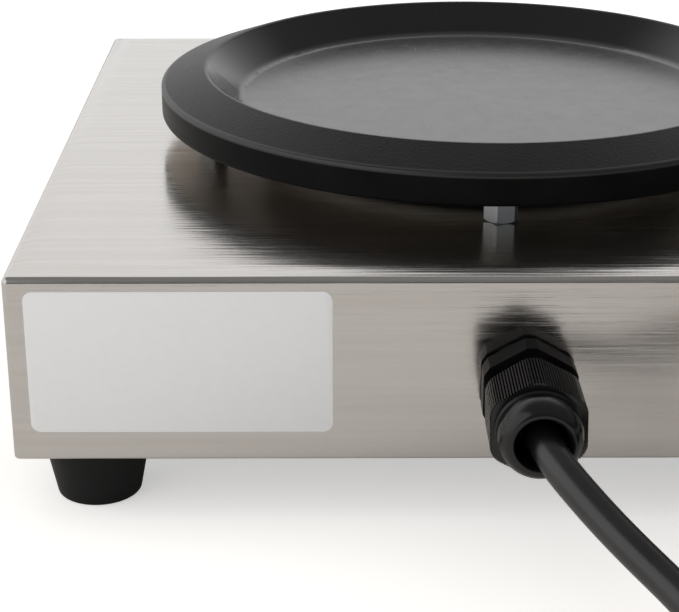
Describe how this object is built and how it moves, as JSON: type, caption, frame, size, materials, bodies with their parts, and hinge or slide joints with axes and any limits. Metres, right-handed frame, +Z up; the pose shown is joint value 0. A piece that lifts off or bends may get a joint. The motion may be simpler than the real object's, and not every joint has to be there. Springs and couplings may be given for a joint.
{
  "type": "decanter warmer",
  "caption": "Low square steel case on rubber feet with a round dished warming plate on standoffs, a rocker switch in front and a corded cable gland behind.",
  "frame": {"origin": "on the floor under the middle of the case, between the four feet", "axes": "+Z up; the switch faces -Y and the cord leaves the rear wall towards +Y"},
  "size_m": [0.287, 0.3138, 0.0711],
  "materials": {
    "stainless": "brushed along the width",
    "galvanised": "dull zinc coat",
    "zinc": "bright zinc plate",
    "black_rubber": "matt",
    "coated_casting": "black stoving coat, satin with a fine texture",
    "mica": "mica sandwich",
    "fibre_board": "ceramic fibre board",
    "terminal_brass": "plain",
    "thermostat_metal": "plain",
    "phenolic": "moulded",
    "switch_black": "moulded",
    "switch_red": "translucent red",
    "plunger_steel": "polished",
    "lamp_glass": "clear",
    "gland_nylon": "moulded, half gloss",
    "cord_black": "PVC sheath, half gloss",
    "tie_black": "matt",
    "plug_metal": "nickelled",
    "connector_clear": "milky nylon",
    "wire_black": "heat-proof sleeve",
    "wire_white": "heat-proof sleeve",
    "wire_green": "plain"
  },
  "bodies": {
    "case": {"base_plate": "galvanised", "case_screws": "zinc", "case_washers": "zinc", "clamp_screw": "zinc", "clamp_washer": "zinc", "coil_tie": "tie_black", "cord_coil": "cord_black", "cord_entry": "cord_black", "corner_brackets": "galvanised", "earth_nut": "zinc", "earth_ring": "terminal_brass", "earth_stud": "zinc", "earth_wire": "wire_green", "foot_front_left": "black_rubber", "foot_front_right": "black_rubber", "foot_nuts": "zinc", "foot_rear_left": "black_rubber", "foot_rear_right": "black_rubber", "foot_screws": "zinc", "foot_washers": "zinc", "gland_body": "gland_nylon", "gland_locknut": "gland_nylon", "gland_nut": "gland_nylon", "gland_seal": "black_rubber", "gland_washer": "black_rubber", "heater_clamp": "galvanised", "heater_connectors": "connector_clear", "heater_insulation": "fibre_board", "heater_tabs": "terminal_brass", "heating_element": "mica", "housing_shell": "stainless", "lamp_wire": "wire_white", "link_wire": "wire_black", "live_wire": "wire_black", "neutral_wire": "wire_white", "plate_standoffs": "zinc", "plug_blades": "plug_metal", "plug_body": "cord_black", "plug_earth_pin": "plug_metal", "power_cord": "cord_black", "switch_body": "switch_black", "switch_connectors": "connector_clear", "switch_lamp": "lamp_glass", "switch_terminals": "terminal_brass", "switched_wire": "wire_black", "thermostat_body": "phenolic", "thermostat_cap": "thermostat_metal", "thermostat_screws": "zinc", "thermostat_tabs": "terminal_brass", "warming_plate": "coated_casting"},
    "rocker": {"switch_rocker": "switch_red", "switch_plunger": "plunger_steel"},
    "contact": {"switch_contact": "terminal_brass"}
  },
  "joints": [
    {"name": "rocker_tilt", "type": "hinge", "parent": "case", "child": "rocker", "pos_m": [0, -0.0965, 0.034], "axis": [-1, 0, 0], "range_deg": [0, 18]},
    {"name": "contact_tilt", "type": "hinge", "parent": "case", "child": "contact", "pos_m": [0, -0.0865, 0.034], "axis": [-1, 0, 0], "range_deg": [-10.8, 0]}
  ],
  "couplings": [
    {"joint": "contact_tilt", "follows": "rocker_tilt", "ratio": -0.6}
  ]
}
